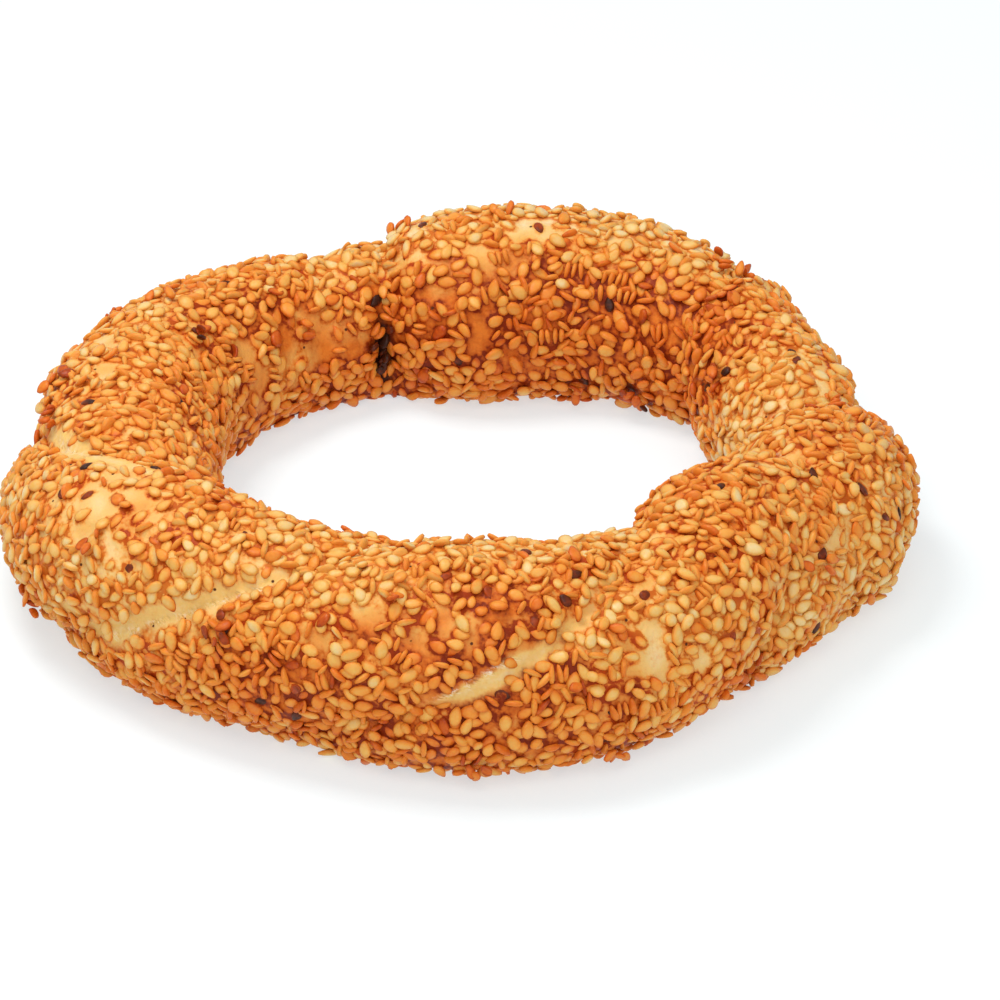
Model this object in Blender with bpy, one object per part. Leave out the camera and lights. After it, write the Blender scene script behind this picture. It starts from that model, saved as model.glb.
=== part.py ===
"""A simit: two strands of dough twisted together, closed into a ring and baked lying flat on a tray.

The ring is one solid. It lies on z = 0 with its hole upright, and its front is towards -Y. Angles are in
degrees: a ring angle runs counter-clockwise from +X seen from above, and a section angle runs round the
dough from its outer side (0) over the top (90) to the side facing the hole (180).
"""

from collections import namedtuple

import bpy
import numpy as np

# The run of the dough, at even ring angles from +X: 0, 30, 60 ... 330. Sizes are in millimetres.
RING_RADIUS = [58.5, 59.5, 66.5, 60.0, 60.5, 58.5, 56.0, 56.5, 53.5, 54.5, 53.5, 52.0]
HALF_WIDTH = [15.5, 12.5, 14.5, 15.5, 13.5, 14.5, 17.0, 17.0, 16.5, 18.5, 16.5, 16.5]
HEIGHT = [30.5, 27.5, 29.0, 32.0, 29.0, 30.0, 32.5, 34.0, 34.0, 36.0, 33.0, 33.0]

# A crease crosses the dough at these ring angles on its outer side, its top and its inner side, and is
# this deep there. The lobe that follows a twist crease swells by its rise.
Crease = namedtuple("Crease", "outer top inner depth_outer depth_top depth_inner width rise")

TWIST_CREASES = [
    Crease(24, 8, 10, 2.2, 1.2, 1.0, 3.2, 1.0),
    Crease(50, 47, 46, 1.5, 2.0, 2.5, 3.2, 1.2),
    Crease(98, 102.5, 104, 2.0, 3.5, 6.5, 4.0, 1.0),  # the cleft where the two ends are pressed together
    Crease(165, 196, 200, 3.2, 1.6, 1.2, 3.6, 1.6),
    Crease(219, 250, 270, 1.5, 1.2, 0.8, 3.2, 0.4),
    Crease(267, 301, 318, 1.5, 1.5, 1.5, 3.2, 1.4),
    Crease(338, 344, 362, 0.3, 1.2, 1.2, 3.2, 1.0),
]

# Shallow folds inside a lobe, which don't divide it.
FOLDS = [
    Crease(108, 112, 116, 3.0, 4.0, 1.5, 10.0, 0),
    Crease(125, 131, 143, 0.3, 0.5, 1.0, 3.2, 0),
    Crease(321, 335, 345, 5.6, 0.0, 0.0, 6.0, 0),
    Crease(11, 11, 10, 3.0, 2.8, 0.0, 8.0, 0),
    Crease(168, 176, 182, 2.2, 1.0, 0.0, 6.0, 0),
    Crease(259, 270, 275, 1.6, 0.3, 0.0, 7.0, 0),
    Crease(180, 186, 190, 0.0, 0.0, 1.6, 9.0, 0),
    Crease(235, 235, 235, 0.0, 0.8, 0.8, 10.0, 0),
    Crease(40, 42, 42, 0.0, 0.0, 1.6, 10.0, 0),
    Crease(240, 281, 290, 0.0, 0.8, 0.8, 3.2, 0),
    # Ridges: a depth below zero stands proud.
    Crease(44, 44, 43.5, -1.0, -2.4, 0.0, 2.5, 0),
    Crease(345, 343, 343, -1.6, 0.0, 0.0, 4.5, 0),
    Crease(97, 98.5, 98.5, 0.0, -1.3, 0.0, 3.0, 0),
]

CREASE_ROUNDING = 0.6  # rounds the bottom of each crease
TRAY_SINK = 1.8  # how far the round dough would reach below the tray
TRAY_ROUNDING = 0.9  # how softly the side turns into the flat base
TRAY_DROP = 0.45  # brings the softened base down onto the tray

RING_SEGMENTS = 128
SECTION_SEGMENTS = 36
MILLIMETRE = 0.001

CRUST_COLOUR = (0.60, 0.25, 0.065, 1.0)
CRUST_ROUGHNESS = 0.5


def around(stations, ring_angle):
    """Value at a ring angle on a smooth closed curve through evenly spaced stations."""
    values = np.array(stations, float)
    count = len(values)
    place = (ring_angle % 360.0) / 360.0 * count
    index = np.floor(place).astype(int)
    t = place - index
    before, here, after, beyond = (values[(index + step) % count] for step in (-1, 0, 1, 2))
    bend = 2 * before - 5 * here + 4 * after - beyond
    twist = 3 * here - before - 3 * after + beyond
    return 0.5 * (2 * here + (after - before) * t + bend * t**2 + twist * t**3)


def over_section(outer, top, inner, section_angle):
    """Value at a section angle on the parabola through its outer, top and inner values."""
    quarter = section_angle / 90.0
    curve = (inner - 2 * top + outer) / 2
    return outer + (top - outer - curve) * quarter + curve * quarter**2


def crease_distance(crease, ring_angle, section_angle, radius, half_width):
    """Distance in mm from the nearest turn of a crease, along the ring and square to the crease."""
    place = over_section(crease.outer, crease.top, crease.inner, section_angle)
    ahead = over_section(crease.outer, crease.top, crease.inner, section_angle + 1.0)
    along = ((ring_angle - place + 180.0) % 360.0 - 180.0) * np.pi / 180 * radius
    slope = (ahead - place) * radius / half_width
    return along, along / np.sqrt(1 + slope**2)


def crease_cut(crease, section_angle, distance):
    """Depth in mm that a crease takes off at a distance from its line."""
    on_top = np.clip(section_angle, 0.0, 180.0)
    depth = over_section(crease.depth_outer, crease.depth_top, crease.depth_inner, on_top)
    rounded = np.sqrt(distance**2 + CREASE_ROUNDING**2) - CREASE_ROUNDING
    lowest = min(0.0, crease.depth_outer, crease.depth_top, crease.depth_inner)
    return np.maximum(depth, lowest) * np.exp(-rounded / crease.width)


def relief(ring_angle, section_angle, ring_radius, half_width):
    """Offset in mm from the plain section: lobes that swell between the creases, and the creases."""
    radius = ring_radius + half_width * np.cos(np.radians(section_angle))
    behind = np.full(ring_angle.shape, np.inf)
    ahead = np.full(ring_angle.shape, np.inf)
    rise = np.zeros(ring_angle.shape)
    offset = np.zeros(ring_angle.shape)
    for crease in TWIST_CREASES + FOLDS:
        along, distance = crease_distance(crease, ring_angle, section_angle, radius, half_width)
        offset -= crease_cut(crease, section_angle, distance)
        if crease in TWIST_CREASES:
            past = np.where(along >= 0, along, along + 2 * np.pi * radius)
            left = np.where(along < 0, -along, 2 * np.pi * radius - along)
            rise = np.where(past < behind, crease.rise, rise)
            behind = np.minimum(behind, past)
            ahead = np.minimum(ahead, left)
    across_lobe = (behind - ahead) / (behind + ahead)
    offset += rise * (1 - across_lobe**2)
    above_tray = np.clip((np.sin(np.radians(section_angle)) + 1.0) / 0.45, 0.0, 1.0)
    return offset * above_tray**2 * (3 - 2 * above_tray)


def settle(height):
    """Flattens the dough onto the tray at zero."""
    softened = TRAY_ROUNDING * np.logaddexp(0.0, height / TRAY_ROUNDING)
    return np.maximum(softened - TRAY_DROP, 0.0)


def dough_surface(ring_angle, section_angle):
    """Points of the dough's surface in metres, for arrays of ring angles and section angles."""
    ring_radius = around(RING_RADIUS, ring_angle)
    half_width = around(HALF_WIDTH, ring_angle)
    half_height = around(HEIGHT, ring_angle) / 2
    offset = relief(ring_angle, section_angle, ring_radius, half_width)
    section = np.radians(section_angle)
    radius = ring_radius + (half_width + offset) * np.cos(section)
    height = settle(half_height + (half_height + offset) * np.sin(section) - TRAY_SINK)
    ring = np.radians(ring_angle)
    points = np.stack([radius * np.cos(ring), radius * np.sin(ring), height], axis=-1)
    return points * MILLIMETRE


def shape_dough(mesh, plain_radius):
    """Moves each point of a plain torus to its place on the dough, then centres the ring."""
    points = np.empty(len(mesh.vertices) * 3, np.float32)
    mesh.vertices.foreach_get("co", points)
    x, y, z = points.reshape(-1, 3).T.astype(float)
    ring_angle = np.degrees(np.arctan2(y, x)) % 360.0
    section_angle = np.degrees(np.arctan2(z, np.hypot(x, y) - plain_radius))
    section_angle = (section_angle + 90.0) % 360.0 - 90.0
    placed = dough_surface(ring_angle, section_angle)
    lowest, highest = placed.min(axis=0), placed.max(axis=0)
    placed[:, :2] -= (lowest[:2] + highest[:2]) / 2
    mesh.vertices.foreach_set("co", placed.astype(np.float32).ravel())
    mesh.update()


def crust_material():
    material = bpy.data.materials.new("crust")
    material.use_nodes = True
    shader = material.node_tree.nodes["Principled BSDF"]
    shader.inputs["Base Color"].default_value = CRUST_COLOUR
    shader.inputs["Roughness"].default_value = CRUST_ROUGHNESS
    shader.inputs["Metallic"].default_value = 0.0
    return material


def clear_scene():
    for thing in list(bpy.data.objects):
        bpy.data.objects.remove(thing)


def build():
    clear_scene()
    plain_radius = float(np.mean(RING_RADIUS)) * MILLIMETRE
    plain_section = float(np.mean(HALF_WIDTH)) * MILLIMETRE
    bpy.ops.mesh.primitive_torus_add(
        major_radius=plain_radius,
        minor_radius=plain_section,
        major_segments=RING_SEGMENTS,
        minor_segments=SECTION_SEGMENTS,
    )
    ring = bpy.context.active_object
    ring.name = ring.data.name = "simit"
    shape_dough(ring.data, plain_radius)
    ring.data.materials.append(crust_material())
    ring.data.shade_smooth()

    collection = bpy.data.collections.new("simit")
    bpy.context.scene.collection.children.link(collection)
    for holder in list(ring.users_collection):
        holder.objects.unlink(ring)
    collection.objects.link(ring)


build()
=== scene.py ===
# A simit: two strands of dough twisted into a ring, baked under a coat of toasted sesame.
# The dough is one closed mesh, the sesame is a joined mesh for each depth of toasting.
import math
import random

import bmesh
import bpy
import numpy as np
from mathutils import Matrix, Vector, kdtree, noise


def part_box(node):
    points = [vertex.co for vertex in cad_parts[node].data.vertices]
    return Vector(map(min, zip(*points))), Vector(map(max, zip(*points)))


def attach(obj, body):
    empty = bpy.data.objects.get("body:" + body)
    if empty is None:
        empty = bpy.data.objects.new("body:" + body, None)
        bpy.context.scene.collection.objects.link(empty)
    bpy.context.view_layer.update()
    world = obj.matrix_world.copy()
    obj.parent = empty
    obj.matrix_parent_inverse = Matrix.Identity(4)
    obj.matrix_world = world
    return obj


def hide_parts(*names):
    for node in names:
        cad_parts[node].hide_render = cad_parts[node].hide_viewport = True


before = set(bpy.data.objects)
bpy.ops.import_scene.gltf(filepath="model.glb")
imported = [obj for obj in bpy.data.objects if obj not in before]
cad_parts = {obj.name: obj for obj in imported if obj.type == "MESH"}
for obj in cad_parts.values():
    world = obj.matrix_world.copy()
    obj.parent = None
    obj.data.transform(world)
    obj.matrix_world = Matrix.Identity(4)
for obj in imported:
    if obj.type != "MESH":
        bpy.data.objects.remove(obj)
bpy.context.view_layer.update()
mm = 0.001

dough = {
    "ringRadius": [58.5, 59.5, 66.5, 60.0, 60.5, 58.5, 56.0, 56.5, 53.5, 54.5, 53.5, 52.0],  # mm, every 30 degrees
    "halfWidth": [15.5, 12.5, 14.5, 15.5, 13.5, 14.5, 17.0, 17.0, 16.5, 18.5, 16.5, 16.5],
    "height": [30.5, 27.5, 29.0, 32.0, 29.0, 30.0, 32.5, 34.0, 34.0, 36.0, 33.0, 33.0],
    "creaseRounding": 0.6,
    "traySink": 1.8,
    "trayRounding": 0.9,
    "trayDrop": 0.45,
    "coatDepth": 0.75,  # mm from the outside of the sesame in to the crust
    "underside": 0.4,  # mm of sesame under the crust where it lay on the tray
    "ringSteps": 500,
    "sectionSteps": 196,
}

# Each crease: ring angles on the outer side, the top and the inner side, depths there, width, rise of the next lobe.
twistCreases = [
    (24, 8, 10, 2.2, 1.2, 1.0, 3.2, 1.0),
    (50, 47, 46, 1.5, 2.0, 2.5, 3.2, 1.2),
    (98, 102.5, 104, 2.0, 3.5, 6.5, 4.0, 1.0),
    (165, 196, 200, 3.2, 1.6, 1.2, 3.6, 1.6),
    (219, 250, 270, 1.5, 1.2, 0.8, 3.2, 0.4),
    (267, 301, 318, 1.5, 1.5, 1.5, 3.2, 1.4),
    (338, 344, 362, 0.3, 1.2, 1.2, 3.2, 1.0),
]
shallowFolds = [
    (108, 112, 116, 3.0, 4.0, 1.5, 10.0, 0),
    (125, 131, 143, 0.3, 0.5, 1.0, 3.2, 0),
    (321, 335, 345, 5.6, 0.0, 0.0, 6.0, 0),
    (11, 11, 10, 3.0, 2.8, 0.0, 8.0, 0),
    (168, 176, 182, 2.2, 1.0, 0.0, 6.0, 0),
    (259, 270, 275, 1.6, 0.3, 0.0, 7.0, 0),
    (180, 186, 190, 0.0, 0.0, 1.6, 9.0, 0),
    (235, 235, 235, 0.0, 0.8, 0.8, 10.0, 0),
    (40, 42, 42, 0.0, 0.0, 1.6, 10.0, 0),
    (240, 281, 290, 0.0, 0.8, 0.8, 3.2, 0),
    # ridges, where a depth below zero stands proud
    (44, 44, 43.5, -1.0, -2.4, 0.0, 2.5, 0),
    (345, 343, 343, -1.6, 0.0, 0.0, 4.5, 0),
    (97, 98.5, 98.5, 0.0, -1.3, 0.0, 3.0, 0),
]


def aroundRing(stations, ringAngle):
    # smooth closed curve through evenly spaced stations
    values = np.array(stations, float)
    place = (ringAngle % 360.0) / 360.0 * len(values)
    index = np.floor(place).astype(int)
    t = place - index
    before, here, after, beyond = (values[(index + step) % len(values)] for step in (-1, 0, 1, 2))
    bend = 2 * before - 5 * here + 4 * after - beyond
    twist = 3 * here - before - 3 * after + beyond
    return 0.5 * (2 * here + (after - before) * t + bend * t**2 + twist * t**3)


def overSection(outer, top, inner, sectionAngle):
    # parabola through a value on the outer side, the top and the inner side
    quarter = sectionAngle / 90.0
    curve = (inner - 2 * top + outer) / 2
    return outer + (top - outer - curve) * quarter + curve * quarter**2


def distanceFromLine(line, ringAngle, sectionAngle, radius, halfWidth):
    # mm along the ring, and mm square to the line
    place = overSection(*line[:3], sectionAngle)
    ahead = overSection(*line[:3], sectionAngle + 1.0)
    along = ((ringAngle - place + 180.0) % 360.0 - 180.0) * math.pi / 180 * radius
    slope = (ahead - place) * radius / halfWidth
    return along, along / np.sqrt(1 + slope**2)


def relief(ringAngle, sectionAngle, ringRadius, halfWidth):
    radius = ringRadius + halfWidth * np.cos(np.radians(sectionAngle))
    behind = np.full(ringAngle.shape, np.inf)
    ahead = np.full(ringAngle.shape, np.inf)
    rise = np.zeros(ringAngle.shape)
    offset = np.zeros(ringAngle.shape)
    for crease in twistCreases + shallowFolds:
        along, distance = distanceFromLine(crease, ringAngle, sectionAngle, radius, halfWidth)
        depth = overSection(*crease[3:6], np.clip(sectionAngle, 0.0, 180.0))
        depth = np.maximum(depth, min(0.0, *crease[3:6]))
        rounded = np.sqrt(distance**2 + dough["creaseRounding"] ** 2) - dough["creaseRounding"]
        offset -= depth * np.exp(-rounded / crease[6])
        if crease in twistCreases:
            past = np.where(along >= 0, along, along + 2 * np.pi * radius)
            left = np.where(along < 0, -along, 2 * np.pi * radius - along)
            rise = np.where(past < behind, crease[7], rise)
            behind = np.minimum(behind, past)
            ahead = np.minimum(ahead, left)
    acrossLobe = (behind - ahead) / (behind + ahead)
    offset += rise * (1 - acrossLobe**2)
    aboveTray = np.clip((np.sin(np.radians(sectionAngle)) + 1.0) / 0.45, 0.0, 1.0)
    return offset * aboveTray**2 * (3 - 2 * aboveTray)


def doughPoints(ringAngle, sectionAngle, inset=0.0, unevenness=None):
    # points in mm on the dough, or on a skin that far inside it
    ringAngle = np.asarray(ringAngle, float)
    sectionAngle = (np.asarray(sectionAngle, float) + 90.0) % 360.0 - 90.0
    ringRadius = aroundRing(dough["ringRadius"], ringAngle)
    halfWidth = aroundRing(dough["halfWidth"], ringAngle)
    halfHeight = aroundRing(dough["height"], ringAngle) / 2
    offset = relief(ringAngle, sectionAngle, ringRadius, halfWidth) - inset
    if unevenness is not None:
        offset = offset + unevenness
    section = np.radians(sectionAngle)
    radius = ringRadius + (halfWidth + offset) * np.cos(section)
    height = halfHeight + (halfHeight + offset) * np.sin(section) - dough["traySink"]
    height = dough["trayRounding"] * np.logaddexp(0.0, height / dough["trayRounding"]) - dough["trayDrop"]
    height = np.maximum(height, 0.0)
    if inset:
        height = np.sqrt(height**2 + dough["underside"] ** 2)
    ring = np.radians(ringAngle)
    return np.stack([radius * np.cos(ring), radius * np.sin(ring), height], axis=-1)


def ringShift():
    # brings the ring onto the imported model's box
    ringAngle, sectionAngle = np.meshgrid(np.arange(0, 360, 1.0), np.arange(-90, 270, 3.0))
    points = doughPoints(ringAngle, sectionAngle).reshape(-1, 3)
    low, high = (np.array(corner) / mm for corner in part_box("simit"))
    shift = (low + high) / 2 - (points.min(0) + points.max(0)) / 2
    return np.array([shift[0], shift[1], low[2]])


shift = ringShift()


def crustPoints(ringAngle, sectionAngle):
    return doughPoints(ringAngle, sectionAngle, dough["coatDepth"]) + shift


def crustFrames(ringAngle, sectionAngle):
    # points on the crust with the directions along the ring, across it and out of it
    points = crustPoints(ringAngle, sectionAngle)
    alongRing = crustPoints(ringAngle + 0.6, sectionAngle) - crustPoints(ringAngle - 0.6, sectionAngle)
    overRing = crustPoints(ringAngle, sectionAngle + 1.5) - crustPoints(ringAngle, sectionAngle - 1.5)
    area = np.linalg.norm(np.cross(alongRing, overRing), axis=-1)
    alongRing /= np.linalg.norm(alongRing, axis=-1, keepdims=True)
    outward = np.cross(alongRing, overRing)
    outward /= np.maximum(np.linalg.norm(outward, axis=-1, keepdims=True), 1e-9)
    return points, alongRing, np.cross(outward, alongRing), outward, area


# Pale strips in the grooves of the twist: ring angles outside, on top and inside, first and last section angle,
# half width in mm at the first and the last end, mm the torn edge lies to the side, strength, strength of the tears.
paleStrips = [
    (155.2, 203.7, 252.2, 44, 101, 2.8, 1.2, 0.3, 1.0, 0.55),
    (220.2, 249.2, 278.2, -14, 72, 2.4, 1.2, 0.9, 0.84, 0.8),
    (267.2, 304.2, 341.2, 2, 40, 1.8, 1.6, -1.5, 1.0, 1.0),
    (341, 345.5, 356, 86, 114, 0.7, 0.5, 0.0, 0.6, 0.5),
    (267.5, 303.5, 339.5, 34, 55, 1.6, 1.0, 0.0, 0.75, 0.0),
]

# Where the torn edge of a strip shows: strip, first and last section angle.
tornStretches = [(0, 50, 74), (1, -12, 62), (2, 5, 33), (3, 92, 114)]

# Thin places in the sesame: ring angle, section angle, mm along the ring, mm over it, share of seeds left.
thinPlaces = [
    (296, 24, 3.2, 4.5, 0.05),
    (213, 60, 10, 8, 0.48),
    (121, 160, 5.5, 5, 0.12),
    (136, 172, 3, 5, 0.15),
    (344, 90, 3, 2.5, 0.2),
    (270, 50, 8, 6, 0.8),
    (94.6, 142, 3.5, 1.8, 0.1),
    (86.9, 116, 2.6, 2.2, 0.45),
    (98.9, 111, 2.6, 2.4, 0.4),
    (265.3, 37, 3, 2.8, 0.15),
    (258.1, 52, 2.8, 2.4, 0.2),
    (251.8, 32, 2.8, 2.4, 0.2),
    (322.9, 25, 2.8, 2.2, 0.15),
    (313.1, -1, 3, 2, 0.1),
    (303.1, 6, 2.2, 2.2, 0.25),
    (168.1, 83, 2.8, 2.6, 0.2),
    (158.2, 67, 2.8, 2.4, 0.2),
    (136.4, 145, 2.5, 2.5, 0.25),
    (110.2, 175, 3, 3, 0.2),
    (84.7, 160, 3, 2.5, 0.25),
    (85.9, 175, 2.5, 3, 0.25),
    (78, 100, 6, 4, 0.6),
    (104.8, 176, 1.3, 11, 0.5),
]


def stripDistance(strip, ringAngle, sectionAngle):
    # mm from a strip's middle, its half width there and mm to its nearer end
    ringRadius = aroundRing(dough["ringRadius"], ringAngle)
    halfWidth = aroundRing(dough["halfWidth"], ringAngle)
    radius = ringRadius + halfWidth * np.cos(np.radians(sectionAngle))
    distance = distanceFromLine(strip, ringAngle, sectionAngle, radius, halfWidth)[1]
    breadth = np.interp(sectionAngle, strip[3:5], strip[5:7])
    ends = np.minimum(sectionAngle - strip[3], strip[4] - sectionAngle) * halfWidth * math.pi / 180
    return distance, breadth, ends


def patches(places, ringAngle, sectionAngle, points):
    # for each place, the distance from it as a share of its size, with an uneven outline
    wander = np.array([noise.noise(Vector(point) / 3.5) for point in points])
    ringRadius = aroundRing(dough["ringRadius"], ringAngle)
    halfWidth = aroundRing(dough["halfWidth"], ringAngle)
    radius = ringRadius + halfWidth * np.cos(np.radians(sectionAngle))
    for place in places:
        alongRing = ((ringAngle - place[0] + 180) % 360 - 180) * math.pi / 180 * radius / place[2]
        overRing = (sectionAngle - place[1]) * math.pi / 180 * halfWidth / place[3]
        yield place, np.hypot(alongRing, overRing) + 0.45 * wander


def seedShare(ringAngle, sectionAngle, points):
    # 1 where the sesame is thick, down to 0 on bare crust
    clumps = np.array([noise.noise(Vector(point) / 6.5) for point in points])
    share = np.clip(1.0 + 0.6 * clumps, 0.74, 1.0)
    for strip in paleStrips:
        distance, breadth, ends = stripDistance(strip, ringAngle, sectionAngle)
        away = np.abs(distance - strip[7] * 0.35) / (breadth + abs(strip[7]) * 0.35)
        inside = np.clip(1.45 - away, 0, 1) * np.clip(ends / 1.5, 0, 1)
        kept = np.clip(0.25 + 1.1 * clumps, 0.02, 0.5) * (1.5 - strip[8])
        share = np.minimum(share, 1 - inside * (1 - kept) * min(strip[8] + 0.1, 1.0))
    for place, away in patches(thinPlaces, ringAngle, sectionAngle, points):
        share = np.minimum(share, np.clip(place[4] + (1 - place[4]) * (away - 0.7) / 0.6, 0, 1))
    return share


def stripPlace(ringAngle, sectionAngle, points):
    # strength of the nearest pale strip, strength of its tears, and mm across it
    wander = np.array([noise.noise(Vector(point) / 2.2) for point in points])
    broken = np.array([noise.noise(Vector(point) / 1.3 + Vector((7, 3, 5))) for point in points])
    strength = np.zeros(ringAngle.shape)
    tears = np.zeros(ringAngle.shape)
    across = np.zeros(ringAngle.shape)
    for strip in paleStrips:
        distance, breadth, ends = stripDistance(strip, ringAngle, sectionAngle)
        here = strip[8] * np.clip(1.5 - np.abs(distance) / breadth + 0.7 * wander, 0, 1) * np.clip(ends / 3 + 0.2, 0, 1)
        strength = np.maximum(strength, here)
    for index, first, last in tornStretches:
        strip = paleStrips[index]
        distance, breadth, ends = stripDistance(strip, ringAngle, sectionAngle)
        off = distance - strip[7] - 0.8 * wander
        here = np.clip(1.6 - np.abs(off) / 0.45, 0, 1) * np.clip(0.75 + 1.6 * broken, 0, 1)
        here *= np.clip((sectionAngle - first) / 3, 0, 1) * np.clip((last - sectionAngle) / 3, 0, 1)
        across = np.where(here > tears, distance, across)
        tears = np.maximum(tears, strip[9] * here)
    return strength, tears, across


# Darkness by section angle, from the outer bottom edge over the top to the inner bottom edge, 0 pale to 1 dark.
toastStations = [(-90, 0.7), (-40, 0.5), (-10, 0.37), (25, 0.27), (70, 0.22), (105, 0.27), (135, 0.4), (170, 0.52), (270, 0.7)]

# Darker and lighter places: ring angle, section angle, mm along the ring, mm over it, darkness added or taken.
darkPlaces = [
    # painted shade: this entry and those at ring angle 104.8 and 104 below darken the deep cleft at the inner back
    (104.6, 216, 1.7, 9, 1.15),
    (262, -15, 18, 8, 0.15),
    (8, 195, 18, 12, -1.0),
    (183, -10, 20, 12, -0.5),
    (335, -10, 22, 12, -0.45),
    (212, 20, 14, 14, -0.25),
    (150, 45, 22, 14, -0.45),
    (272, 30, 14, 12, 0.3),
    # painted shade in the deep cleft
    (104.8, 178, 1.1, 12, 0.9),
    (104, 190, 6, 16, 0.25),
    (226, 14, 11, 7, -0.35),
    (237, 52, 12, 8, -0.35),
    (252, 74, 12, 7, -0.35),
    (212, 62, 9, 7, -0.05),
    (300, 30, 12, 8, -0.2),
    (187, 58, 8, 7, -0.2),
    (196, 80, 7, 6, -0.15),
    (290, 46, 9, 7, -0.35),
    (237, 22, 4, 3, 0.4),
    # darker inner walls at the back right
    (45, 175, 26, 12, 0.25),
    (80, 172, 16, 12, 0.15),
    (8, 150, 16, 16, -0.8),
    (44, 135, 7, 12, 0.22),
    (45, 108, 14, 8, 0.4),
    (75, 135, 16, 12, 0.12),
    # painted sheen: this entry and the next make the back tops paler, in place of a grazing light from behind
    (70, 64, 34, 9, -1.1),
    (105, 66, 16, 9, -0.5),
    (135, 110, 14, 8, 0.35),
    (190, 8, 22, 16, -0.1),
    (180, 180, 22, 16, -0.1),
    (222, 108, 10, 7, -0.15),
    (222, 70, 12, 7, 0.2),
    (243, -5, 14, 8, 0.5),
    (245, 35, 12, 9, 0.25),
    (255, 105, 16, 7, -0.4),
    (285, 8, 14, 12, 0.2),
    (282, 70, 16, 9, 0.24),
    (285, 108, 16, 7, -0.45),
    (304, 110, 12, 8, -0.35),
    (312, 10, 14, 12, -0.1),
    (312, 70, 14, 9, 0.2),
    (345, -8, 16, 11, -0.4),
    (60, 140, 12, 9, 0.08),
    (38, 118, 5, 4, 0.2),
    (345, 45, 6, 5, 0.12),
    (208, -18, 12, 5, 0.2),
]


def toastAt(ringAngle, sectionAngle, points):
    angles, levels = zip(*toastStations)
    toast = np.interp(sectionAngle, angles, levels)
    for place, away in patches(darkPlaces, ringAngle, sectionAngle, points):
        toast = toast + place[4] * np.exp(-np.maximum(away, 0) ** 2)
    drift = np.array([noise.noise(Vector(point) / 11.0) for point in points])
    clumps = np.array([noise.noise(Vector(point) / 4.2 + Vector((2, 9, 4))) for point in points])
    return toast + 0.12 * drift + 0.34 * clumps


sowing = {
    "seed": 23,
    "length": 3.0,  # mm
    "width": 1.98,
    "thickness": 0.98,
    "sizeSpread": 0.11,
    "flatTries": 80000,
    "leaningTries": 26000,
    "edgeTries": 32000,
    "flatLift": 0.24,  # mm from the crust up to a flat seed's middle
    "tilt": 10,  # degrees, how uneven the flat seeds lie
}

random.seed(sowing["seed"])
dice = np.random.default_rng(sowing["seed"])

# Dark and brown seeds that stand out: ring angle, section angle, toasting.
singledOut = [
    (356.5, 120, 1.0), (24.4, 85, 1.0), (21.4, 88, 0.95), (29.6, 135, 1.0), (33.4, 155, 0.97), (37.7, 110, 0.97),
    (324.4, 92, 1.0), (341.9, 68, 0.95), (349.1, 13, 1.0), (344.9, 20, 0.9), (344.2, 41, 0.93), (309.7, 104, 1.0),
    (297.7, 54, 0.93), (331.4, 24, 0.95), (329.5, -24, 1.0), (290, -6, 1.0), (289.4, -24, 0.97), (308.5, 16, 0.85),
    (285.6, 60, 0.93), (288.5, 76, 0.97), (274.6, 67, 0.85), (268.1, 76, 0.85), (280.4, 48, 0.85), (282.1, 102, 0.95),
    (275.7, 10, 0.9), (232.6, 86, 0.97), (237.5, 27, 1.0), (236, 34, 0.85), (243.7, -10, 1.0), (248.5, -17, 0.97),
    (199.4, 68, 1.0), (205.7, 101, 1.0), (187.6, 31, 1.0), (206.6, 59, 0.92), (221.2, 40, 0.9), (202.3, 50, 0.9),
    (202.1, -18, 0.93), (178.6, 76, 0.97), (170.2, 129, 0.97), (145.6, 117, 0.92), (129.7, 88, 0.95), (95.9, 79, 0.95),
    (105.5, 137, 1.0), (103.2, 172, 0.97), (104.2, 205, 1.0), (90.2, 187, 1.0), (96.1, 193, 0.97), (62.6, 145, 1.0), (66.5, 205, 1.0),
    (57.5, 203, 0.97), (77.5, 97, 0.85), (207.5, -15, 0.85),
]

# Rows of seeds on edge: ring angle, section angle, heading of the row in degrees from along the ring, how many.
edgeRows = [
    (337.5, 52, 15, 4), (333.5, 35, 20, 4), (63, 128, 5, 4), (60, 137, 12, 3), (291, -4, 10, 4), (297, -8, 10, 5),
    (246, 20, 60, 4), (103, 152, 60, 2), (106, 168, 130, 2), (141, 150, 70, 3), (138, 160, 80, 3),
    (143, 140, 60, 3), (272, 96, 20, 3), (200, 95, 30, 3), (264, 78, 0, 2), (330, -5, 15, 4), (232, 4, 75, 4),
    (253, 12, 10, 3), (98, 165, 75, 2), (72, 170, 10, 4), (0, 60, 80, 3), (318, 40, 5, 3), (283, 20, 0, 3),
    (70, 128, 5, 3), (83, 122, 8, 3), (52, 150, 30, 3), (30, 150, 60, 3), (306, 44, 20, 3), (350, 62, 40, 4),
]


def randomPlaces(count):
    # ring and section angles spread evenly over the crust's area
    ringAngle = dice.uniform(0, 360, count * 2)
    sectionAngle = dice.uniform(-90, 270, count * 2)
    area = crustFrames(ringAngle, sectionAngle)[4]
    kept = dice.uniform(0, area.max(), count * 2) < area
    return ringAngle[kept][:count], sectionAngle[kept][:count]


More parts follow.
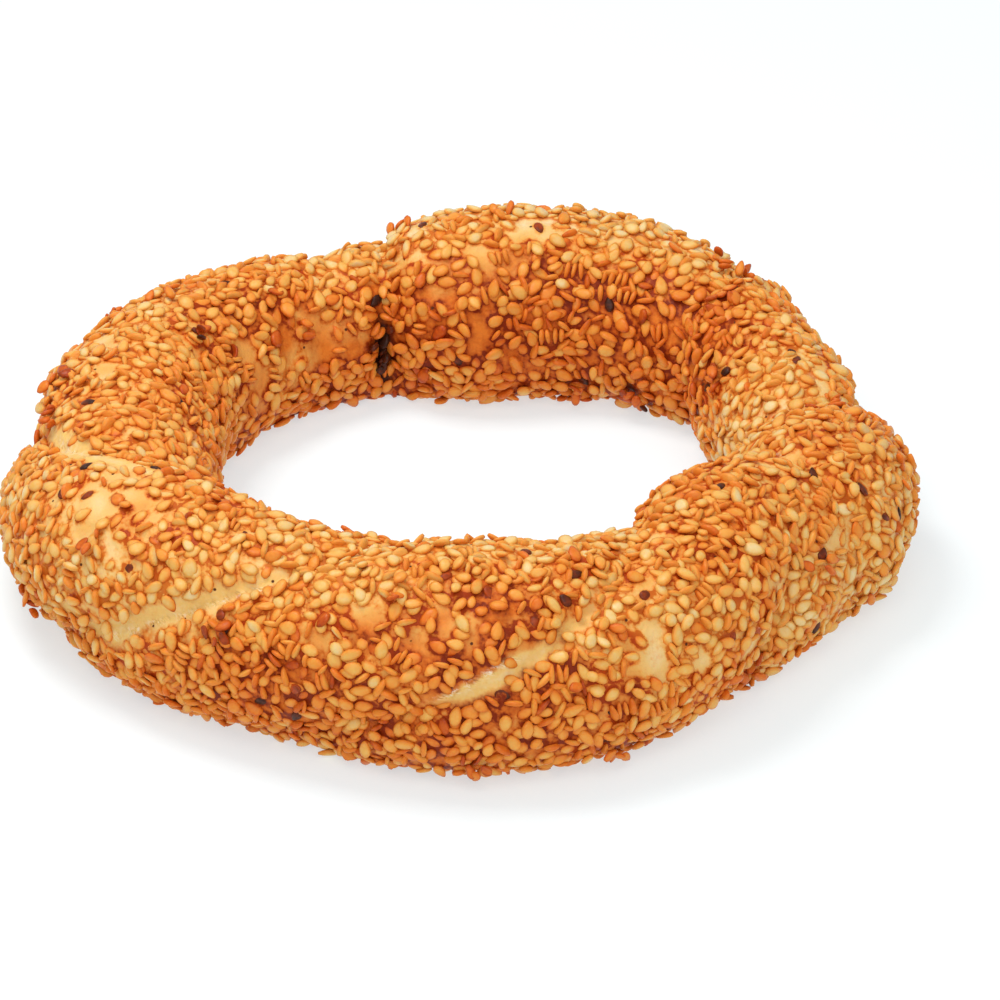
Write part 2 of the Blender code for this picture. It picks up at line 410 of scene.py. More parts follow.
# Burnt clumps that stand proud: ring angle, section angle, how many, toasting.
burntClumps = [
    (147.8, 55, 4, 0.6), (168, 52, 5, 0.66), (180, 50, 5, 0.62), (147.1, 117, 4, 0.8), (51.8, 72, 5, 0.62),
    (49.0, 50, 4, 0.6), (43.4, 111, 6, 0.66), (66.8, 214, 5, 0.78), (57, 208, 6, 0.74), (291, -36, 4, 0.55),
    (237, 22, 5, 0.68), (141, 75, 3, 0.5), (98.6, 66, 3, 0.55), (6, 74, 3, 0.5), (352, 36, 3, 0.55),
    (203, -16, 4, 0.58), (248, -38, 4, 0.6), (272, -34, 4, 0.58), (318, -34, 4, 0.58), (330, 20, 3, 0.6),
    (104.7, 210, 5, 0.97), (104.7, 190, 3, 0.9), (262, 62, 3, 0.6), (216, 44, 3, 0.62), (122, 150, 3, 0.62), (30, 140, 4, 0.66), (84, 80, 3, 0.5),
]


class SeedBed:
    # the seeds laid so far, with a grid of 4 mm cells to find neighbours

    def __init__(self):
        self.cells = {}
        self.seeds = []

    def near(self, point):
        cell = tuple(int(math.floor(value / 4.0)) for value in point)
        for i in (-1, 0, 1):
            for j in (-1, 0, 1):
                for k in (-1, 0, 1):
                    yield from self.cells.get((cell[0] + i, cell[1] + j, cell[2] + k), ())

    def add(self, seed):
        cell = tuple(int(math.floor(value / 4.0)) for value in seed["middle"])
        self.cells.setdefault(cell, []).append(seed)
        self.seeds.append(seed)


def reach(seed, way, distance):
    # half the seed's footprint towards a neighbour
    along = abs(way[0] * seed["heading"][0] + way[1] * seed["heading"][1] + way[2] * seed["heading"][2]) / distance
    along = min(along, 1.0)
    long, broad = seed["halfLength"], seed["halfBreadth"]
    return long * broad / math.sqrt((broad * along) ** 2 + long**2 * (1 - along**2))


def crowding(bed, seed, layers):
    # the smallest share of free room to any neighbour in these layers
    least = 9.0
    middle = seed["middle"]
    for other in bed.near(middle):
        if other["layer"] not in layers:
            continue
        way = (other["middle"][0] - middle[0], other["middle"][1] - middle[1], other["middle"][2] - middle[2])
        distance = math.sqrt(way[0] ** 2 + way[1] ** 2 + way[2] ** 2)
        if distance > 4.2 or distance < 1e-6:
            least = least if distance > 4.2 else 0.0
            continue
        least = min(least, distance / (reach(seed, way, distance) + reach(other, way, distance)))
    return least


def newSeed(point, alongRing, overRing, outward, heading, layer, breadth, size):
    turned = math.cos(heading) * alongRing + math.sin(heading) * overRing
    return {
        "middle": tuple(point),
        "outward": tuple(outward),
        "heading": tuple(turned),
        "halfLength": sowing["length"] / 2 * size,
        "halfBreadth": breadth / 2 * size,
        "size": size,
        "layer": layer,
    }


def sow(bed, count, layer, breadth, room, against, thin=1.6):
    # throws seeds at random and keeps those with room enough
    ringAngle, sectionAngle = randomPlaces(count)
    points, alongRing, overRing, outward, area = crustFrames(ringAngle, sectionAngle)
    share = seedShare(ringAngle, sectionAngle, points)
    headings = dice.uniform(0, 2 * math.pi, len(points))
    sizes = 1 + sowing["sizeSpread"] * dice.standard_normal(len(points)).clip(-2, 2)
    luck = dice.uniform(0, 1, len(points))
    for i in range(len(points)):
        if luck[i] > share[i] * 1.25:
            continue
        seed = newSeed(points[i], alongRing[i], overRing[i], outward[i], headings[i], layer, breadth, sizes[i])
        seed["ringAngle"], seed["sectionAngle"] = ringAngle[i], sectionAngle[i]
        if crowding(bed, seed, against) > room * (1 + thin * (1 - share[i])):
            bed.add(seed)


def sowAll():
    bed = SeedBed()
    for ringAngle, sectionAngle, toast in singledOut:
        frames = crustFrames(np.array([float(ringAngle)]), np.array([float(sectionAngle)]))
        seed = newSeed(*(part[0] for part in frames[:4]), random.uniform(0, math.pi * 2), "marked", sowing["width"], 0.85)
        seed["ringAngle"], seed["sectionAngle"], seed["toast"] = ringAngle, sectionAngle, toast
        bed.add(seed)
    for ringAngle, sectionAngle, turn, count in edgeRows:
        for k in range(count):
            frames = crustFrames(np.array([float(ringAngle)]), np.array([float(sectionAngle)]))
            point, alongRing, overRing, outward = (part[0] for part in frames[:4])
            step = (k - (count - 1) / 2) * 1.12 + random.uniform(-0.12, 0.12)
            rowWay = math.radians(turn)
            point = point + (math.cos(rowWay) * alongRing + math.sin(rowWay) * overRing) * step
            heading = rowWay + math.pi / 2 + random.uniform(-0.28, 0.28)
            size = random.uniform(0.85, 1.05)
            seed = newSeed(point, alongRing, overRing, outward, heading, "edge", sowing["thickness"], size)
            seed["ringAngle"], seed["sectionAngle"] = ringAngle, sectionAngle
            bed.add(seed)
    for ringAngle, sectionAngle, count, toast in burntClumps:
        for k in range(count):
            place = ringAngle + random.gauss(0, 1.3), sectionAngle + random.gauss(0, 5)
            frames = crustFrames(np.array([place[0]]), np.array([place[1]]))
            heading = random.uniform(0, math.pi * 2)
            seed = newSeed(*(part[0] for part in frames[:4]), heading, "heaped", sowing["width"], random.uniform(0.75, 1.0))
            seed["ringAngle"], seed["sectionAngle"] = place
            seed["toast"] = toast + random.gauss(0, 0.09)
            bed.add(seed)
    sow(bed, sowing["flatTries"], "flat", sowing["width"], 0.82, ("flat", "edge", "marked"))
    print("flat seeds", len(bed.seeds))
    sow(bed, sowing["edgeTries"], "edge", sowing["thickness"], 0.7, ("flat", "edge", "marked"), 2.5)
    print("with seeds on edge", len(bed.seeds))
    sow(bed, sowing["leaningTries"], "leaning", sowing["width"], 0.84, ("leaning", "edge", "marked"), 2.2)
    print("with leaning seeds", len(bed.seeds))
    return bed.seeds


def settleSeed(seed):
    # turns a seed's place and layer into the matrix that lays it on the crust
    outward = Vector(seed["outward"])
    heading = Vector(seed["heading"])
    sideways = outward.cross(heading)
    matrix = Matrix((heading, sideways, outward)).transposed()
    tilt = math.radians(sowing["tilt"])
    lift = sowing["flatLift"]
    if seed["layer"] in ("flat", "marked"):
        turn = Matrix.Rotation(random.gauss(0, tilt * 0.7), 3, "Y") @ Matrix.Rotation(random.gauss(0, tilt), 3, "X")
        lift += random.uniform(-0.24, 0.12)
    elif seed["layer"] == "heaped":
        turn = Matrix.Rotation(random.uniform(-0.8, 0.8), 3, "Y") @ Matrix.Rotation(random.uniform(-0.9, 0.9), 3, "X")
        lift += random.uniform(0.6, 1.9)
    elif seed["layer"] == "leaning":
        turn = Matrix.Rotation(random.uniform(-0.5, 0.5), 3, "Y") @ Matrix.Rotation(random.uniform(-0.6, 0.6), 3, "X")
        lift += random.uniform(0.4, 0.75)
    else:
        lean = math.pi / 2 + random.uniform(-0.35, 0.35)
        turn = Matrix.Rotation(random.gauss(0, 0.12), 3, "Y") @ Matrix.Rotation(lean, 3, "X")
        lift += random.uniform(-0.05, 0.3)
    middle = Vector(seed["middle"]) + outward * lift
    return middle, matrix @ turn


# taper to the point, how far the point is drawn out, bend along the seed, hollow of an open hull, breadth, length
seedForms = [
    {"taper": 0.36, "point": 0.10, "bend": 0.04, "hollow": 0.0, "breadth": 1.0, "length": 1.0},
    {"taper": 0.30, "point": 0.06, "bend": -0.05, "hollow": 0.0, "breadth": 1.04, "length": 0.95},
    {"taper": 0.42, "point": 0.16, "bend": 0.0, "hollow": 0.10, "breadth": 1.0, "length": 1.04},
    {"taper": 0.30, "point": 0.10, "bend": 0.08, "hollow": 0.0, "breadth": 0.86, "length": 1.05},
    {"taper": 0.24, "point": 0.06, "bend": 0.0, "hollow": 0.0, "breadth": 1.05, "length": 0.92},
    {"taper": 0.32, "point": 0.10, "bend": 0.04, "hollow": 0.95, "breadth": 1.02, "length": 1.0},
]


def seedForm(form):
    # a flattened sphere drawn out to a point at one end
    bm = bmesh.new()
    bmesh.ops.create_uvsphere(bm, u_segments=12, v_segments=5, radius=1.0)
    places = [tuple(vert.co) for vert in bm.verts]
    for vert in bm.verts:
        x, y, z = vert.co
        towardsPoint = (x + 1) / 2
        drawnOut = x * (1 + form["point"] * max(x, 0) ** 3) - form["point"] / 4
        rounding = 1.05  # the rings nearest the middle stand a little inside the outline
        breadth = y * rounding * (1 - form["taper"] * towardsPoint**2.2) * form["breadth"]
        dome = math.copysign(abs(z) ** 0.7, z) * (1 - 0.25 * towardsPoint**2)
        if z > 0:
            dome *= 1 - form["hollow"] * (1.35 * z**2)
        dome += form["bend"] * 2 * x**2
        vert.co = (
            drawnOut * rounding * sowing["length"] / 2.08 * form["length"],
            breadth * sowing["width"] / 1.94,
            dome * sowing["thickness"] / 2,
        )
    bmesh.ops.recalc_face_normals(bm, faces=bm.faces)
    mesh = bpy.data.meshes.new("seedForm")
    bm.to_mesh(mesh)
    bm.free()
    return mesh, np.array(places)


def addNode(tree, kind, place=(0, 0), **settings):
    node = tree.nodes.new(kind)
    node.location = place
    for name, value in settings.items():
        setattr(node, name, value)
    return node


def setInputs(node, **values):
    for name, value in values.items():
        node.inputs[name.replace("_", " ")].default_value = value
    return node


def ramp(tree, factor, stops, place=(0, 0)):
    node = addNode(tree, "ShaderNodeValToRGB", place)
    elements = node.color_ramp.elements
    while len(elements) < len(stops):
        elements.new(0.5)
    for element, (position, colour) in zip(elements, stops):
        element.position = position
        element.color = (*colour, 1.0)
    tree.links.new(factor, node.inputs["Fac"])
    return node.outputs["Color"]


def mixColour(tree, factor, first, second, blend="MIX"):
    node = addNode(tree, "ShaderNodeMix", data_type="RGBA", blend_type=blend)
    sockets = {"Factor": node.inputs[0], "A": node.inputs[6], "B": node.inputs[7]}
    for name, value in (("Factor", factor), ("A", first), ("B", second)):
        if isinstance(value, bpy.types.NodeSocket):
            tree.links.new(value, sockets[name])
        else:
            sockets[name].default_value = value if name == "Factor" else (*value, 1.0)
    return node.outputs[2]


def sums(tree, operation, *values, clamp=False):
    node = addNode(tree, "ShaderNodeMath", operation=operation, use_clamp=clamp)
    for socket, value in zip(node.inputs, values):
        if isinstance(value, bpy.types.NodeSocket):
            tree.links.new(value, socket)
        else:
            socket.default_value = value
    return node.outputs[0]


def attribute(tree, name, output="Fac"):
    return addNode(tree, "ShaderNodeAttribute", attribute_name=name).outputs[output]


def mottlingGroup():
    # uneven browning: a coarse and a fine cloud, mixed to a mask round one half
    group = bpy.data.node_groups.new("ovenMottling", "ShaderNodeTree")
    group.interface.new_socket("Coarse", in_out="INPUT", socket_type="NodeSocketFloat").default_value = 150.0
    group.interface.new_socket("Fine", in_out="INPUT", socket_type="NodeSocketFloat").default_value = 900.0
    group.interface.new_socket("Mask", in_out="OUTPUT", socket_type="NodeSocketFloat")
    entry = addNode(group, "NodeGroupInput")
    leave = addNode(group, "NodeGroupOutput")
    place = addNode(group, "ShaderNodeTexCoord").outputs["Object"]
    clouds = []
    for name in ("Coarse", "Fine"):
        cloud = addNode(group, "ShaderNodeTexNoise")
        setInputs(cloud, Detail=3.0, Roughness=0.55)
        group.links.new(place, cloud.inputs["Vector"])
        group.links.new(entry.outputs[name], cloud.inputs["Scale"])
        clouds.append(cloud.outputs["Fac"])
    fine = sums(group, "MULTIPLY", sums(group, "SUBTRACT", clouds[1], 0.5), 0.6)
    group.links.new(sums(group, "ADD", clouds[0], fine, clamp=True), leave.inputs["Mask"])
    return group


def principled(name):
    material = bpy.data.materials.new(name)
    material.use_nodes = True
    return material, material.node_tree, material.node_tree.nodes["Principled BSDF"]


def mottling(tree, group, coarse, fine):
    node = addNode(tree, "ShaderNodeGroup", node_tree=group)
    setInputs(node, Coarse=coarse, Fine=fine)
    return node.outputs["Mask"]


ovenMottling = mottlingGroup()

crust = {
    # painted shade: the next three colours darken the crust at each seed's foot, where the seed gap is 0
    "seedFootShade": (0.40, 0.046, 0.003),
    "seedFootShadeDeep": (0.20, 0.020, 0.002),
    "seedFootShadePale": (0.58, 0.150, 0.016),
    "straw": (0.74, 0.33, 0.065),
    "butter": (0.78, 0.50, 0.180),
    "browned": (0.70, 0.19, 0.022),
    "golden": (0.755, 0.39, 0.095),
    "deepBrowned": (0.50, 0.096, 0.009),
    # near black for over-toasted crust, and painted shade in the deep cleft
    "charredAndCleftShade": (0.055, 0.013, 0.006),
    "pale": (0.79, 0.50, 0.15),
    "cream": (0.82, 0.68, 0.43),
    "torn": (0.85, 0.76, 0.58),
    "tornShade": (0.30, 0.13, 0.05),
    "shadedPit": (0.10, 0.03, 0.012),
    "roughness": 0.42,
}


def crustColour(tree, cloud):
    gap = attribute(tree, "seedGap")
    toast = attribute(tree, "toast")
    # painted shade: the crust darkens towards each seed's edge as the seed gap falls, down to the seed-foot shade
    # colours
    near = sums(tree, "MINIMUM", gap, 0.45)
    wide = sums(tree, "ADD", near, sums(tree, "MULTIPLY", sums(tree, "SUBTRACT", cloud, 0.5), 1.25))
    shallow = ramp(tree, wide, [(0.0, crust["seedFootShade"]), (0.11, crust["browned"]), (0.4, crust["golden"])])
    deep = ramp(tree, wide, [(0.0, crust["seedFootShadeDeep"]), (0.2, crust["deepBrowned"]), (0.6, crust["browned"])])
    hardly = ramp(tree, wide, [(0.0, crust["seedFootShadePale"]), (0.1, crust["straw"]), (0.34, crust["butter"])])
    light = sums(tree, "MULTIPLY", sums(tree, "SUBTRACT", 0.27, toast), 3.2, clamp=True)
    level = sums(tree, "MULTIPLY", sums(tree, "SUBTRACT", toast, 0.25), 2.6, clamp=True)
    colour = mixColour(tree, level, mixColour(tree, light, shallow, hardly), deep)
    # where the toast sum falls below 0, as on the back tops with their painted sheen, the open crust turns cream
    paleAndSheen = sums(tree, "MULTIPLY", sums(tree, "SUBTRACT", 0.0, toast), 2.0, clamp=True)
    colour = mixColour(tree, sums(tree, "MULTIPLY", paleAndSheen, gap), colour, crust["cream"])
    # near-black crust where the toast sum passes 1.05: painted shade in the deep cleft at ring angle 104, and a few
    # over-toasted spots
    over = sums(tree, "MULTIPLY", sums(tree, "SUBTRACT", toast, 1.05), 1.8, clamp=True)
    colour = mixColour(tree, over, colour, crust["charredAndCleftShade"])
    strip = attribute(tree, "strip")
    ragged = sums(tree, "MULTIPLY", sums(tree, "SUBTRACT", cloud, 0.5), 1.6)
    strength = sums(tree, "MULTIPLY", sums(tree, "ADD", strip, ragged), sums(tree, "MULTIPLY", strip, 1.6), clamp=True)
    colour = mixColour(tree, strength, colour, crust["pale"])
    creamy = sums(tree, "MULTIPLY", sums(tree, "SUBTRACT", sums(tree, "ADD", strip, ragged), 0.85), 1.5, clamp=True)
    return mixColour(tree, sums(tree, "MULTIPLY", creamy, 0.6), colour, crust["cream"])


def tornMarks(tree, colour):
    # short pale fibres and shaded pits square to the strip's edge
    place = addNode(tree, "ShaderNodeAttribute", attribute_name="stripPlace")
    marks = addNode(tree, "ShaderNodeTexNoise")
    setInputs(marks, Scale=1.0, Detail=2.0, Roughness=0.65)
    tree.links.new(place.outputs["Vector"], marks.inputs["Vector"])
    torn = attribute(tree, "tears")
    light = sums(tree, "MULTIPLY", sums(tree, "SUBTRACT", marks.outputs["Fac"], 0.48), 6.0, clamp=True)
    dark = sums(tree, "MULTIPLY", sums(tree, "SUBTRACT", 0.45, marks.outputs["Fac"]), 9.0, clamp=True)
    colour = mixColour(tree, sums(tree, "MULTIPLY", light, torn, clamp=True), colour, crust["torn"])
    return mixColour(tree, sums(tree, "MULTIPLY", dark, torn, clamp=True), colour, crust["tornShade"])


def crustMaterial():
    material, tree, shader = principled("bakedCrust")
    cloud = mottling(tree, ovenMottling, 240.0, 1300.0)
    colour = tornMarks(tree, crustColour(tree, cloud))
    objectPlace = addNode(tree, "ShaderNodeTexCoord").outputs["Object"]
    # painted shade: small dents in the crust, dented by the bump and coloured near black
    pits = addNode(tree, "ShaderNodeTexVoronoi")
    setInputs(pits, Scale=420.0)
    tree.links.new(objectPlace, pits.inputs["Vector"])
    split = addNode(tree, "ShaderNodeSeparateColor")
    tree.links.new(pits.outputs["Color"], split.inputs[0])
    chosen = sums(tree, "GREATER_THAN", split.outputs[0], 0.8)
    shadedPit = sums(tree, "MULTIPLY", sums(tree, "SUBTRACT", 0.12, pits.outputs["Distance"]), 25.0, clamp=True)
    shadedPit = sums(tree, "MULTIPLY", shadedPit, chosen)
    colour = mixColour(tree, shadedPit, colour, crust["shadedPit"])
    tree.links.new(colour, shader.inputs["Base Color"])

    pores = addNode(tree, "ShaderNodeTexVoronoi", feature="SMOOTH_F1")
    setInputs(pores, Scale=1300.0, Smoothness=0.4)
    tree.links.new(objectPlace, pores.inputs["Vector"])
    height = sums(tree, "ADD", sums(tree, "MULTIPLY", pores.outputs["Distance"], 0.3), cloud)
    height = sums(tree, "SUBTRACT", height, shadedPit)
    bump = addNode(tree, "ShaderNodeBump")
    setInputs(bump, Strength=0.5, Distance=0.0005)
    tree.links.new(height, bump.inputs["Height"])
    tree.links.new(bump.outputs["Normal"], shader.inputs["Normal"])
    rough = sums(tree, "ADD", sums(tree, "MULTIPLY", cloud, 0.25), crust["roughness"] - 0.1)
    tree.links.new(rough, shader.inputs["Roughness"])
    shader.inputs["Specular IOR Level"].default_value = 0.1
    shader.inputs["Subsurface Weight"].default_value = 0.12
    shader.inputs["Subsurface Radius"].default_value = (1.0, 0.4, 0.1)
    shader.inputs["Subsurface Scale"].default_value = 0.0005
    return material


def loadPoints(mesh):
    points = np.empty(len(mesh.vertices) * 3, np.float32)
    mesh.vertices.foreach_get("co", points)
    return points.reshape(-1, 3).astype(float)


def storeValues(mesh, name, values, kind="FLOAT"):
    layer = mesh.attributes.new(name, kind, "POINT")
    layer.data.foreach_set("value" if kind == "FLOAT" else "vector", np.asarray(values, np.float32).ravel())


def gapsBetweenSeeds(points, seeds):
    # mm from each point of the crust to the edge of the nearest seed
    tree = kdtree.KDTree(len(seeds))
    for index, seed in enumerate(seeds):
        tree.insert(seed["middle"], index)
    tree.balance()
    gaps = np.full(len(points), 3.0)
    for i, point in enumerate(points):
        for middle, index, distance in tree.find_n(point, 4):
            if distance > 5.0:
                break
            seed = seeds[index]
            way = (point[0] - middle[0], point[1] - middle[1], point[2] - middle[2])
            gaps[i] = min(gaps[i], distance - reach(seed, way, max(distance, 1e-6)))
    return np.maximum(gaps, -0.6)


def mapCrust(mesh, ringAngle, sectionAngle):
    # two strips of the baking map, half of the ring in each
    layer = mesh.uv_layers.new(name="OFBake")
    loopVertex = np.empty(len(mesh.loops), np.int32)
    mesh.loops.foreach_get("vertex_index", loopVertex)
    ring = ringAngle[loopVertex].reshape(-1, 4)
    ring = ring + 360 * ((ring.max(1, keepdims=True) - ring) > 180)
    section = sectionAngle[loopVertex].reshape(-1, 4) + 90
    section = section + 360 * ((section.max(1, keepdims=True) - section) > 180)
    half = (ring.mean(1, keepdims=True) > 180).astype(float)
    u = 0.01 + 0.98 * (ring / 180 - half)
    v = half / 2 + 0.01 + 0.48 * section / 360
    layer.data.foreach_set("uv", np.stack([u, v], -1).astype(np.float32).ravel())


def makeCrust(seeds):
    plainRadius, plainTube = 50.0, 15.0
    bm = bmesh.new()
    bmesh.ops.create_circle(bm, segments=dough["sectionSteps"], radius=plainTube)
    bmesh.ops.rotate(bm, verts=bm.verts, cent=(0, 0, 0), matrix=Matrix.Rotation(math.pi / 2, 3, "X"))
    bmesh.ops.translate(bm, verts=bm.verts, vec=(plainRadius, 0, 0))
    bmesh.ops.spin(
        bm,
        geom=bm.verts[:] + bm.edges[:],
        cent=(0, 0, 0),
        axis=(0, 0, 1),
        angle=2 * math.pi,
        steps=dough["ringSteps"],
        use_merge=True,
    )
    bmesh.ops.recalc_face_normals(bm, faces=bm.faces)
    mesh = bpy.data.meshes.new("crust")
    bm.to_mesh(mesh)
    bm.free()
    x, y, z = loadPoints(mesh).T
    ringAngle = np.degrees(np.arctan2(y, x)) % 360.0
    sectionAngle = np.degrees(np.arctan2(z, np.hypot(x, y) - plainRadius))
    sectionAngle = (sectionAngle + 90.0) % 360.0 - 90.0
    points = crustPoints(ringAngle, sectionAngle)
    uneven = np.array([noise.fractal(Vector(point) / 3.2, 1.0, 2.0, 3) for point in points])
    gaps = gapsBetweenSeeds(points, seeds)
    meniscus = 0.3 * np.exp(-np.maximum(gaps, 0.0) / 0.4)
    lifted = doughPoints(ringAngle, sectionAngle, dough["coatDepth"], 0.16 * uneven + meniscus) + shift
    mesh.vertices.foreach_set("co", (lifted * mm).astype(np.float32).ravel())
    mesh.update()
    strength, tears, across = stripPlace(ringAngle, sectionAngle, points)
    alongStrip = (sectionAngle * 0.27 + ringAngle * 0.55) * 2.4
    storeValues(mesh, "seedGap", np.clip(gaps / 1.6, 0, 1))
    storeValues(mesh, "toast", toastAt(ringAngle, sectionAngle, points))
    storeValues(mesh, "strip", strength)
    storeValues(mesh, "tears", tears)
    storeValues(mesh, "stripPlace", np.stack([alongStrip, across * 1.5, uneven], -1), "FLOAT_VECTOR")
    mapCrust(mesh, ringAngle, sectionAngle)
    mesh.shade_smooth()
    mesh.materials.append(crustMaterial())
    piece = bpy.data.objects.new("crust", mesh)
    bpy.context.scene.collection.objects.link(piece)
    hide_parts("simit")
    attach(piece, "root")
    print("crust", len(mesh.polygons), "faces")
    return piece


sesame = {
    # name, share of the seeds up to this kind, from pale to dark
    "kinds": [
        ("sesamePale", 0.15),
        ("sesameLight", 0.31),
        ("sesameGolden", 0.47),
        ("sesameAmber", 0.63),
        ("sesameOrange", 0.79),
        ("sesameToasted", 0.94),
        ("sesameBrown", 0.99),
        ("sesameDark", 1.0),
    ],
    "colours": [
        (0.0, (0.755, 0.57, 0.28)),
        (0.1, (0.75, 0.50, 0.190)),
        (0.22, (0.75, 0.405, 0.092)),
        (0.42, (0.75, 0.265, 0.034)),
        (0.6, (0.67, 0.150, 0.013)),
        (0.75, (0.44, 0.060, 0.005)),
        (0.9, (0.13, 0.022, 0.006)),
        (1.0, (0.042, 0.012, 0.006)),
    ],
    "roughness": 0.38,
    "footShadeHeight": 0.6,  # mm above the crust where the painted shade at a seed's foot ends
    "spread": 0.07,
}


def sesameMaterial():
    material, tree, shader = principled("toastedSesame")
    cloud = mottling(tree, ovenMottling, 320.0, 1500.0)
    tone = attribute(tree, "tone")
    place = addNode(tree, "ShaderNodeAttribute", attribute_name="seedPlace")
    split = addNode(tree, "ShaderNodeSeparateXYZ")
    tree.links.new(place.outputs["Vector"], split.inputs[0])
    # painted shade: a seed darkens towards its foot on the crust and towards its edge and underside; the edge also
    # stands for a toasted rim
    footShade = sums(tree, "SUBTRACT", 1.0, attribute(tree, "clear"))
    edge = sums(tree, "MULTIPLY", sums(tree, "SUBTRACT", 0.9, split.outputs["Z"]), 0.42, clamp=True)
    edge = sums(tree, "MINIMUM", edge, 0.34)
    skirtToastAndShade = sums(tree, "MULTIPLY", sums(tree, "MAXIMUM", footShade, edge), 1.1)
    rimToastAndShade = sums(tree, "MULTIPLY", skirtToastAndShade, sums(tree, "SUBTRACT", 0.82, tone), clamp=True)
    point = sums(tree, "MULTIPLY", sums(tree, "MAXIMUM", split.outputs["X"], 0.0), 0.06)
    browned = sums(tree, "ADD", tone, sums(tree, "ADD", rimToastAndShade, point))
    browned = sums(tree, "ADD", browned, sums(tree, "MULTIPLY", sums(tree, "SUBTRACT", cloud, 0.5), 0.32), clamp=True)
    tree.links.new(ramp(tree, browned, sesame["colours"]), shader.inputs["Base Color"])
    rough = sums(tree, "ADD", sums(tree, "MULTIPLY", cloud, 0.2), sesame["roughness"] - 0.1)
    tree.links.new(rough, shader.inputs["Roughness"])
    bump = addNode(tree, "ShaderNodeBump")
    setInputs(bump, Strength=0.25, Distance=0.0002)
    tree.links.new(cloud, bump.inputs["Height"])
    tree.links.new(bump.outputs["Normal"], shader.inputs["Normal"])
    shader.inputs["Specular IOR Level"].default_value = 0.19
    shader.inputs["Subsurface Weight"].default_value = 0.15
    shader.inputs["Subsurface Radius"].default_value = (1.0, 0.4, 0.1)
    shader.inputs["Subsurface Scale"].default_value = 0.0004
    return material


def mapSeeds(mesh, places, count):
    # a square of the baking map for each seed, its upper and lower side as two discs
    layer = mesh.uv_layers.new(name="OFBake")
    loopVertex = np.empty(len(mesh.loops), np.int32)
    mesh.loops.foreach_get("vertex_index", loopVertex)
    loopTotal = np.empty(len(mesh.polygons), np.int32)
    mesh.polygons.foreach_get("loop_total", loopTotal)
    loopFace = np.repeat(np.arange(len(loopTotal)), loopTotal)
    x, y, z = places[loopVertex % len(places)].T
    faceHeight = np.bincount(loopFace, weights=z) / loopTotal
    lower = faceHeight[loopFace] < -0.2
    fromPole = np.degrees(np.arccos(np.clip(np.where(lower, -z, z), -1, 1))) / np.where(lower, 73, 109)
    around = np.arctan2(y, x)
    columns = math.ceil(math.sqrt(count))
    seedNumber = loopVertex // len(places)
    u = np.where(lower, 0.75, 0.25) + 0.22 * fromPole * np.cos(around) + seedNumber % columns
    v = 0.5 + 0.45 * fromPole * np.sin(around) + seedNumber // columns
    layer.data.foreach_set("uv", (np.stack([u, v], -1) / columns).astype(np.float32).ravel())


def makeSesame(seeds):
    forms = [seedForm(form) for form in seedForms]
    points = np.array([seed["middle"] for seed in seeds])
    ringAngle = np.array([seed["ringAngle"] for seed in seeds])
    sectionAngle = np.array([seed["sectionAngle"] for seed in seeds])
    toast = 0.15 + 0.31 * np.minimum(toastAt(ringAngle, sectionAngle, points), 0.95)
    toast = toast + dice.normal(0, sesame["spread"], len(seeds)) + 0.3 * (dice.uniform(0, 1, len(seeds)) > 0.95)
    toast = np.clip(toast, 0.02, 0.84)
    material = sesameMaterial()
    toast = np.array([seed.get("toast", level + 0.03) - 0.03 for seed, level in zip(seeds, toast)])
    borders = np.quantile(toast, [share for name, share in sesame["kinds"]])
    joined = {name: (bmesh.new(), []) for name, share in sesame["kinds"]}
    for seed, level in zip(seeds, toast):
        hull = level > 0.55 and random.random() < 0.16
        choice = 5 if hull else random.choice((0, 0, 0, 1, 1, 2, 3, 4))
        shape, places = forms[choice]
        middle, turn = settleSeed(seed)
        size = seed["size"]
        matrix = Matrix.LocRotScale(middle * mm, turn, Vector((size * mm,) * 3))
        copy = shape.copy()
        copy.transform(matrix)
        low = min(vert.co.z for vert in copy.vertices)
        if low < 0.0001:
            copy.transform(Matrix.Translation((0, 0, 0.0001 - low)))
        clear = (loadPoints(copy) / mm - seed["middle"]) @ np.array(seed["outward"])
        kind = next(name for (name, share), border in zip(sesame["kinds"], borders) if level <= border)
        joined[kind][0].from_mesh(copy)
        joined[kind][1].append((level, clear / sesame["footShadeHeight"]))
        bpy.data.meshes.remove(copy)
    for name, (bm, laid) in joined.items():
        mesh = bpy.data.meshes.new(name)
        bm.to_mesh(mesh)
        bm.free()
        storeValues(mesh, "tone", np.concatenate([np.full(len(clear), level) for level, clear in laid]))
        storeValues(mesh, "clear", np.concatenate([clear for level, clear in laid]).clip(0, 1))
        storeValues(mesh, "seedPlace", np.tile(forms[0][1], (len(laid), 1)), "FLOAT_VECTOR")
        mapSeeds(mesh, forms[0][1], len(laid))
        mesh.shade_smooth()
        mesh.materials.append(material)
        piece = bpy.data.objects.new(name, mesh)
        bpy.context.scene.collection.objects.link(piece)
        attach(piece, "root")
        print(name, len(laid), "seeds", sum(len(face.vertices) - 2 for face in mesh.polygons), "triangles")
    for mesh, places in forms:
        bpy.data.meshes.remove(mesh)


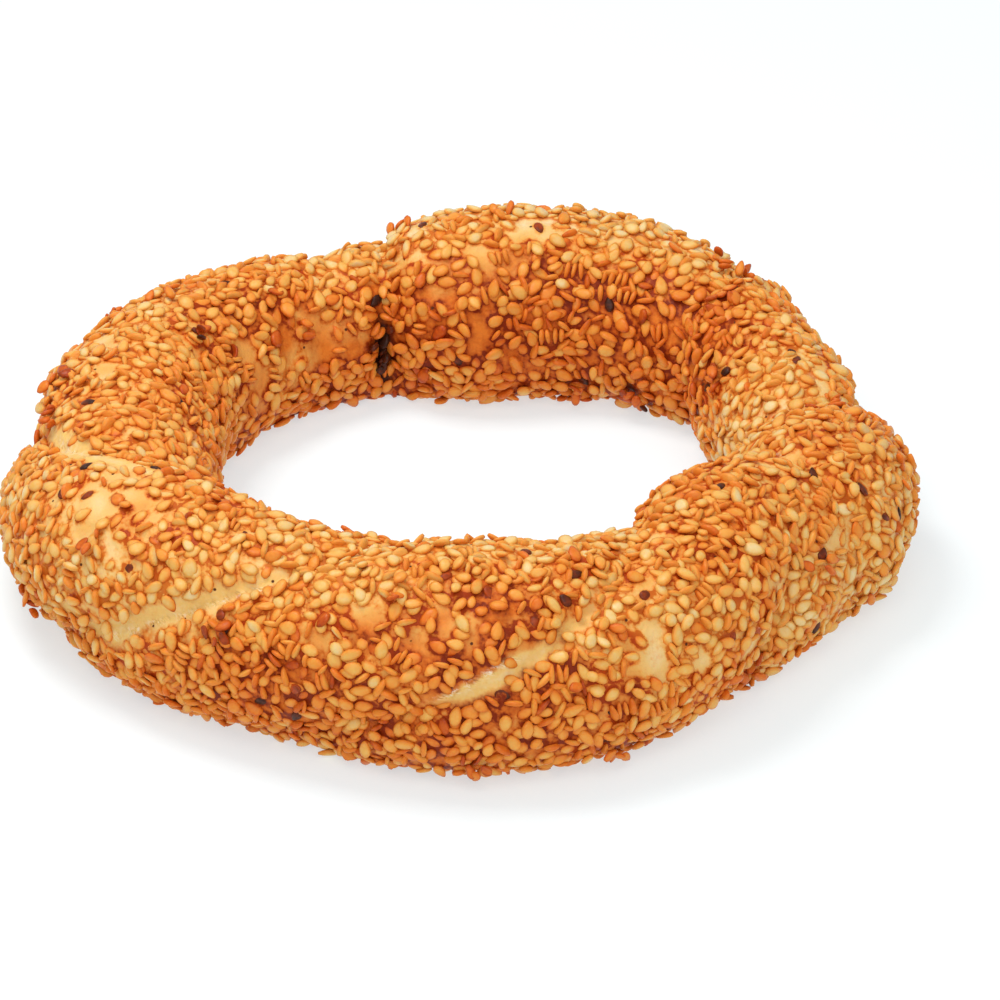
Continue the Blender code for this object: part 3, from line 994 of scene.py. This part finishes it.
studio = {
    "aim": (0.0065, 0.0029, 0.0084),
    "cameraTilt": 30.8,
    "cameraDistance": 1.35,
    "lens": 297.07,
    "worldStrength": 0.59,
    "lamps": [
        # name, place, size, watts
        ("sideSoftbox", (-0.13, 0.04, 0.42), 0.18, 1.0),
        ("frontSoftbox", (0.05, -0.60, 0.60), 0.6, 2.65),
    ],
    "floor": (0.44, 0.45, 0.45),
    "floorGlow": (0.51, 0.56, 0.575),
}


def makeStudio():
    bm = bmesh.new()
    bmesh.ops.create_grid(bm, x_segments=1, y_segments=1, size=4.0)
    mesh = bpy.data.meshes.new("floor")
    bm.to_mesh(mesh)
    bm.free()
    material, tree, shader = principled("paleFloor")
    shader.inputs["Base Color"].default_value = (*studio["floor"], 1.0)
    shader.inputs["Roughness"].default_value = 0.9
    shader.inputs["Specular IOR Level"].default_value = 0.1
    shader.inputs["Emission Color"].default_value = (*studio["floorGlow"], 1.0)
    shader.inputs["Emission Strength"].default_value = 1.0
    mesh.materials.append(material)
    floor = bpy.data.objects.new("floor", mesh)
    bpy.context.scene.collection.objects.link(floor)

    world = bpy.data.worlds.new("studio")
    world.use_nodes = True
    background = world.node_tree.nodes["Background"]
    background.inputs["Color"].default_value = (1.0, 1.0, 1.0, 1.0)
    background.inputs["Strength"].default_value = studio["worldStrength"]
    bpy.context.scene.world = world

    for name, place, size, watts in studio["lamps"]:
        lamp = bpy.data.lights.new(name, "AREA")
        lamp.shape = "SQUARE"
        lamp.size = size
        lamp.energy = watts
        softbox = bpy.data.objects.new(name, lamp)
        softbox.location = place
        softbox.rotation_euler = (-Vector(place)).to_track_quat("-Z", "Y").to_euler()
        bpy.context.scene.collection.objects.link(softbox)

    camera = bpy.data.objects.new("camera", bpy.data.cameras.new("camera"))
    camera.data.lens = studio["lens"]
    camera.data.sensor_width = 36.0
    tilt = math.radians(studio["cameraTilt"])
    aim = Vector(studio["aim"])
    camera.location = aim + studio["cameraDistance"] * Vector((0, -math.cos(tilt), math.sin(tilt)))
    camera.rotation_euler = (math.pi / 2 - tilt, 0, 0)
    bpy.context.scene.collection.objects.link(camera)
    bpy.context.scene.camera = camera

    view = bpy.context.scene.view_settings
    view.view_transform = "Standard"
    view.look = "None"
    view.exposure = 0.0
    view.gamma = 1.0


seeds = sowAll()
makeCrust(seeds)
makeSesame(seeds)
makeStudio()
bpy.context.view_layer.update()
